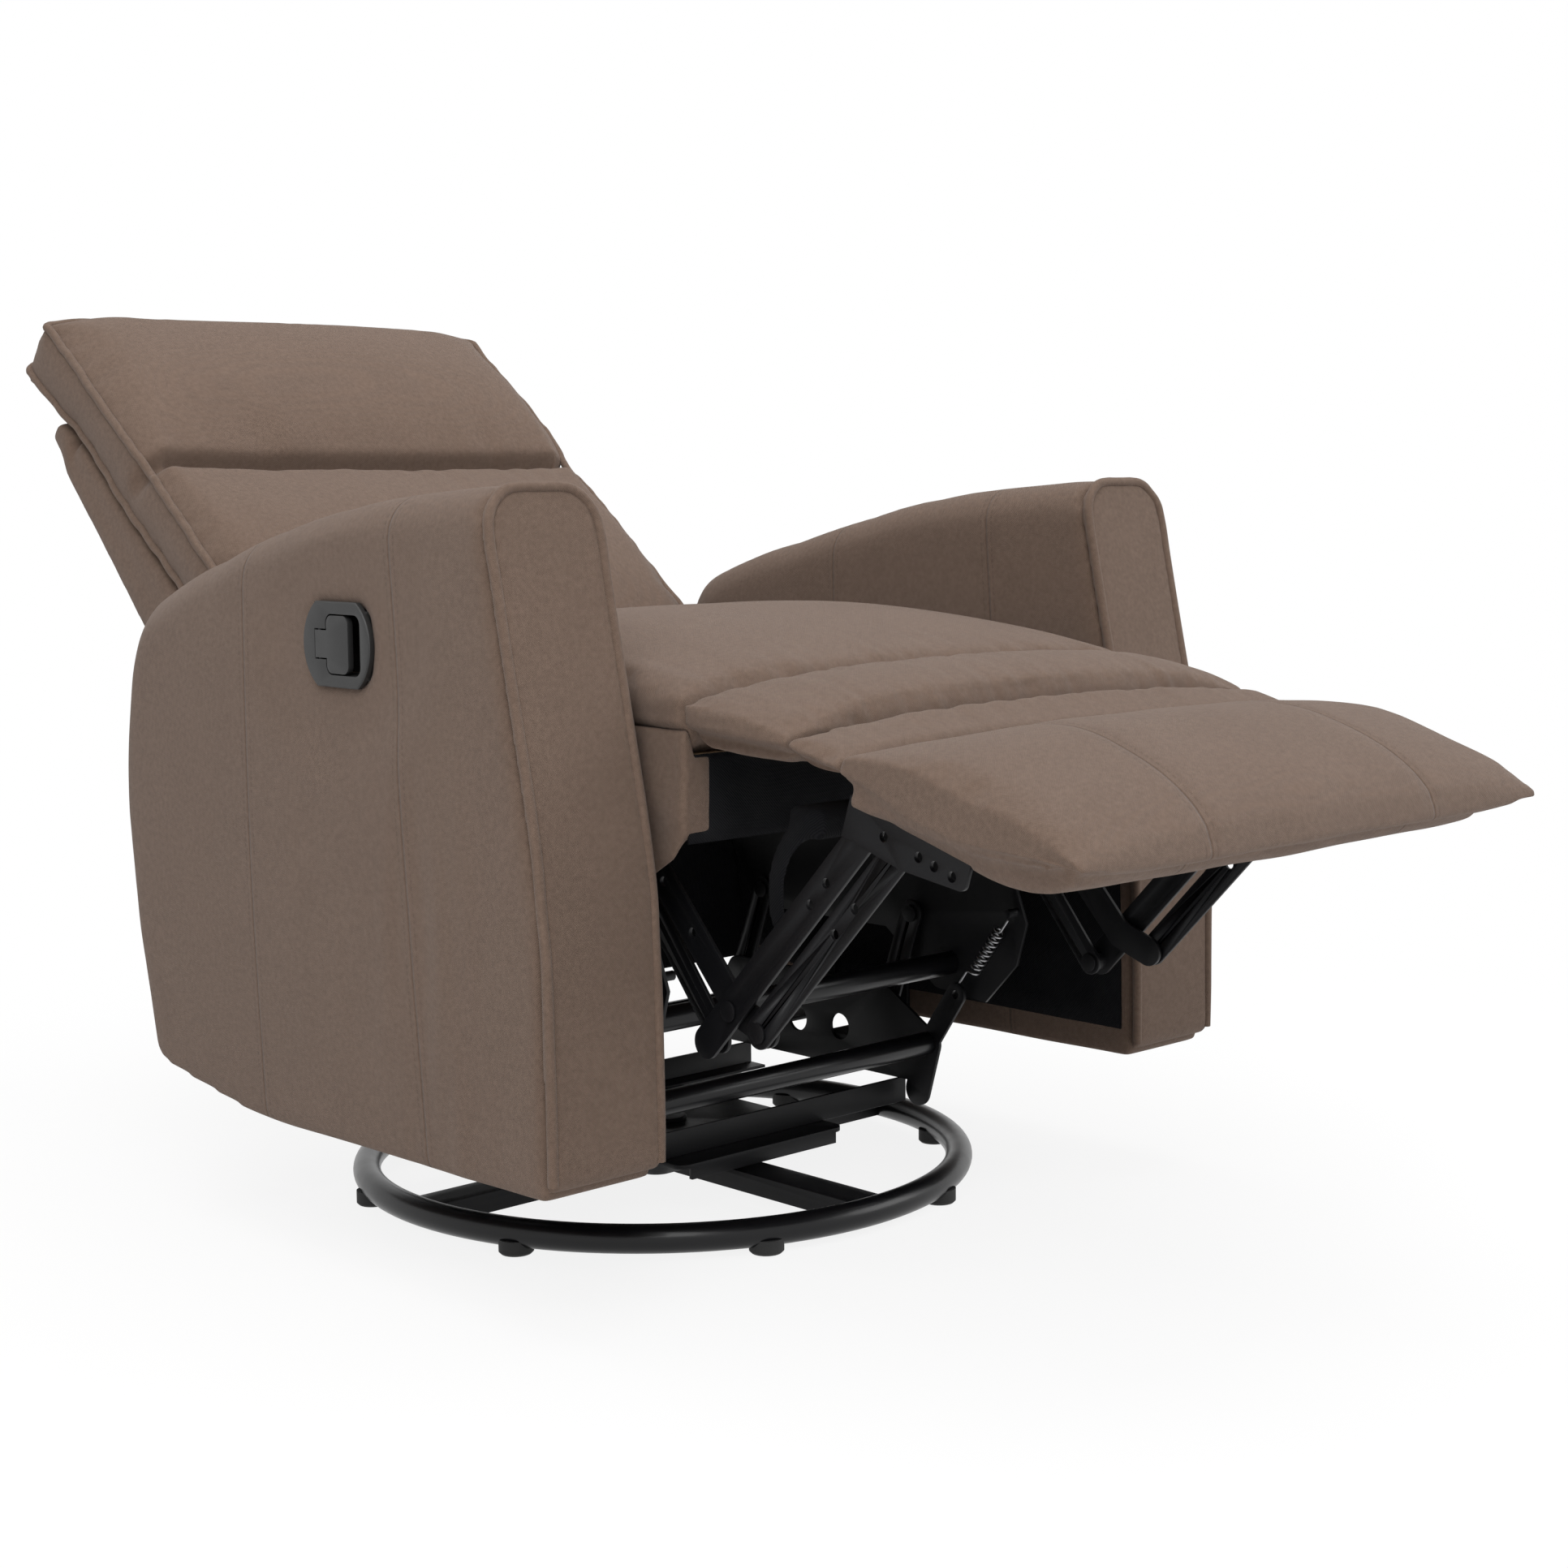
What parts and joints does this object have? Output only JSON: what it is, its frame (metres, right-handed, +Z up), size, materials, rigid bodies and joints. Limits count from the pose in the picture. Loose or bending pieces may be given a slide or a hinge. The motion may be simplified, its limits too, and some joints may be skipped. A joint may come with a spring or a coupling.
{
  "type": "swivel recliner chair",
  "caption": "Upholstered swivel recliner on a round tube base, reclined with its folding footrest out, release lever in the right arm.",
  "frame": {"origin": "on the floor under the middle of the reclined chair; the swivel axis stands 33 mm behind it", "axes": "+Z up, the sitter faces -Y, +X towards the sitter's left"},
  "size_m": [0.789, 1.4078, 0.7969],
  "materials": {
    "upholstery": "woven taupe upholstery",
    "black_cloth": "thin black twill lining",
    "board": "bare plywood",
    "black_plastic": "fine satin grain",
    "foot_rubber": "matt",
    "spring_steel": "bright drawn wire",
    "black_metal": "satin black powder coat"
  },
  "bodies": {
    "base": {"base_ring": "black_metal", "base_cross": "black_metal", "base_feet": "foot_rubber", "swivel_lower_plate": "black_metal", "swivel_thrust_ring": "black_plastic", "swivel_pin": "black_metal"},
    "chassis": {"swivel_upper_plate": "black_metal", "rail_front": "black_metal", "rail_rear": "black_metal", "front_cross_tube": "black_metal", "rear_cross_tube": "black_metal", "chassis_bolts": "black_metal", "lever_housing": "black_plastic", "rear_panel": "upholstery", "base_plate_right": "black_metal", "base_plate_left": "black_metal", "arm_bracket_right": "black_metal", "arm_bracket_left": "black_metal", "arm_right": "upholstery", "arm_left": "upholstery", "arm_front_right": "upholstery", "arm_front_left": "upholstery", "arm_lining_right": "black_cloth", "arm_lining_left": "black_cloth", "return_spring_right": "spring_steel", "return_spring_left": "spring_steel"},
    "front_swing": {"swing_link_front_right": "black_metal", "swing_link_front_left": "black_metal"},
    "rear_swing": {"swing_link_rear_right": "black_metal", "swing_link_rear_left": "black_metal"},
    "seat": {"seat_frame": "board", "seat_webbing": "black_cloth", "seat_cushion": "upholstery", "seat_front_lining": "black_cloth", "seat_cross_tube": "black_metal", "seat_plate_right": "black_metal", "seat_plate_left": "black_metal", "seat_side_right": "upholstery", "seat_side_left": "upholstery"},
    "back": {"back_frame": "board", "back_cushion": "upholstery", "back_shell": "upholstery", "back_bracket_right": "black_metal", "back_bracket_left": "black_metal"},
    "crank": {"crank_link_right": "black_metal", "crank_link_left": "black_metal"},
    "guide": {"guide_link_right": "black_metal", "guide_link_left": "black_metal"},
    "lift": {"lift_link_right": "black_metal", "lift_link_left": "black_metal", "chaise_slat": "black_cloth"},
    "level": {"level_link_right": "black_metal", "level_link_left": "black_metal"},
    "footrest": {"footrest_board": "board", "footrest_pad": "upholstery", "footrest_bracket_right": "black_metal", "footrest_bracket_left": "black_metal"},
    "chaise": {"chaise_pad": "upholstery", "chaise_bridge": "upholstery"},
    "lever": {"lever_paddle": "black_plastic"}
  },
  "joints": [
    {"name": "swivel", "type": "hinge", "parent": "base", "child": "chassis", "pos_m": [0, 0.033, 0.05], "axis": [0, 0, 1], "continuous": true},
    {"name": "front_swing", "type": "hinge", "parent": "chassis", "child": "front_swing", "pos_m": [0, -0.057, 0.15], "axis": [1, 0, 0], "range_deg": [-41, 0.5]},
    {"name": "rear_swing", "type": "hinge", "parent": "chassis", "child": "rear_swing", "pos_m": [0, 0.153, 0.15], "axis": [1, 0, 0], "range_deg": [-41, 0.5]},
    {"name": "seat_tilt", "type": "hinge", "parent": "front_swing", "child": "seat", "pos_m": [0, -0.08778, 0.23457], "axis": [1, 0, 0], "range_deg": [-0.5, 41]},
    {"name": "recline", "type": "hinge", "parent": "seat", "child": "back", "pos_m": [0, 0.28274, 0.39296], "axis": [1, 0, 0], "range_deg": [0, 36], "deforming": ["return_spring_right", "return_spring_left"]},
    {"name": "footrest", "type": "hinge", "parent": "seat", "child": "crank", "pos_m": [0, -0.202, 0.377], "axis": [1, 0, 0], "range_deg": [0, 70.66]},
    {"name": "guide", "type": "hinge", "parent": "seat", "child": "guide", "pos_m": [0, -0.1769, 0.3619], "axis": [1, 0, 0], "range_deg": [-0.5, 70]},
    {"name": "lift", "type": "hinge", "parent": "crank", "child": "lift", "pos_m": [0, -0.327, 0.242], "axis": [1, 0, 0], "range_deg": [-55, 0.5]},
    {"name": "level", "type": "hinge", "parent": "crank", "child": "level", "pos_m": [0, -0.36, 0.23], "axis": [1, 0, 0], "range_deg": [-55, 0.5]},
    {"name": "footrest_tilt", "type": "hinge", "parent": "lift", "child": "footrest", "pos_m": [0, -0.48, 0.4], "axis": [1, 0, 0], "range_deg": [-0.5, 55]},
    {"name": "chaise_fold", "type": "hinge", "parent": "seat", "child": "chaise", "pos_m": [0, -0.317, 0.446], "axis": [1, 0, 0], "range_deg": [-0.5, 77], "deforming": ["chaise_bridge"]},
    {"name": "lever", "type": "hinge", "parent": "chassis", "child": "lever", "pos_m": [-0.3945, -0.0182, 0.519], "axis": [0, 0, -1], "range_deg": [0, 25], "stiffness_Nm_per_rad": 0.4}
  ],
  "couplings": [
    {"joint": "front_swing", "follows": "recline", "ratio": -1.1111},
    {"joint": "rear_swing", "follows": "recline", "ratio": -1.1111},
    {"joint": "seat_tilt", "follows": "recline", "ratio": 1.1111},
    {"joint": "guide", "follows": "footrest", "ratio": 0.97941},
    {"joint": "lift", "follows": "footrest", "ratio": -0.76836},
    {"joint": "level", "follows": "footrest", "ratio": -0.76836},
    {"joint": "footrest_tilt", "follows": "footrest", "ratio": 0.76836},
    {"joint": "chaise_fold", "follows": "footrest", "ratio": 1.0756}
  ]
}
